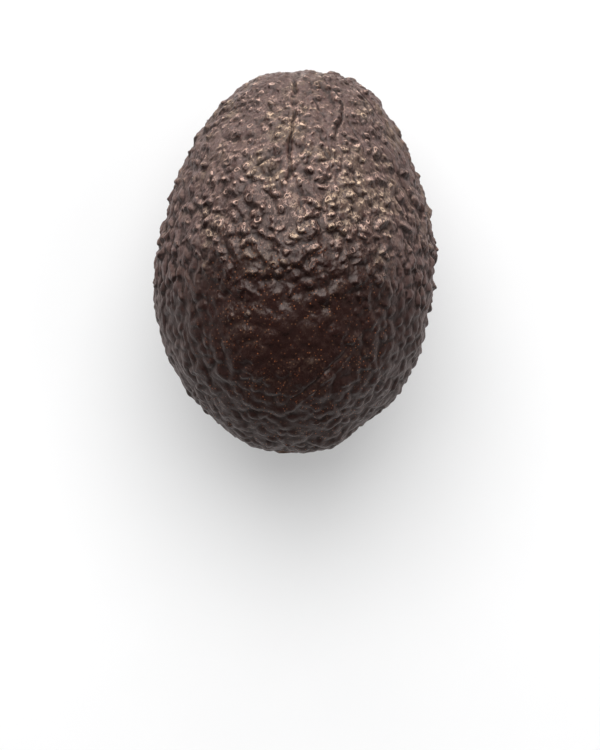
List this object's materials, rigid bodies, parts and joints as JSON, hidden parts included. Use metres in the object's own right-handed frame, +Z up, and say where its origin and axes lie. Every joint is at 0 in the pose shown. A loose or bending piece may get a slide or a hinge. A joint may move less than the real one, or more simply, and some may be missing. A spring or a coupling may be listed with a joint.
{
  "type": "whole avocado",
  "caption": "Whole ripe egg-shaped avocado lying on its side, pebbled dark skin, with a dry clipped stem button in a shallow dimple at the narrow end.",
  "frame": {"origin": "middle of the fruit's footprint box, on the surface that it rests on", "axes": "+Z up, +Y towards the stem end, which dips a little below level and leans slightly towards +X, -Y towards the broad blossom end"},
  "size_m": [0.07, 0.0952, 0.0688],
  "materials": {
    "skin": "satin, pebbled dark purple-brown fruit skin with tan bump tips",
    "stem": "matte, dry weathered stalk wood"
  },
  "bodies": {
    "root": {"fruit": "skin", "stem_button": "stem"}
  },
  "joints": []
}
